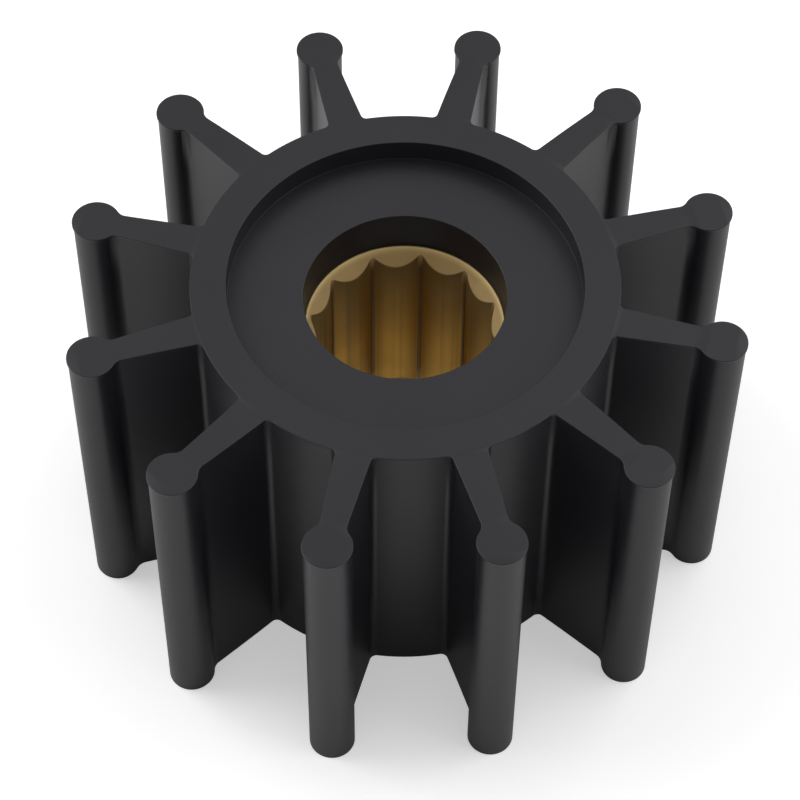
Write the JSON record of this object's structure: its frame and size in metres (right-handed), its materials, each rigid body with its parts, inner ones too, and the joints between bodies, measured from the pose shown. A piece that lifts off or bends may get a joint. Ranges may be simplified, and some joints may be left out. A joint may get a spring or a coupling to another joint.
{
  "type": "rubber pump impeller",
  "caption": "Flexible rubber impeller with bulb-tipped straight blades on a hub recessed at both ends, moulded round a brass insert with a lobed spline for the shaft of a raw water pump.",
  "frame": {"origin": "centre of the lower end face's plane, on the axis", "axes": "+Z along the axis of the bore, from the lower end face to the upper one; one blade points along +X"},
  "size_m": [0.0572, 0.0572, 0.031],
  "materials": {
    "rubber": "satin moulded rubber",
    "brass": "drawn brass, dulled"
  },
  "bodies": {
    "root": {"impeller_body": "rubber", "spline_insert": "brass"}
  },
  "joints": []
}
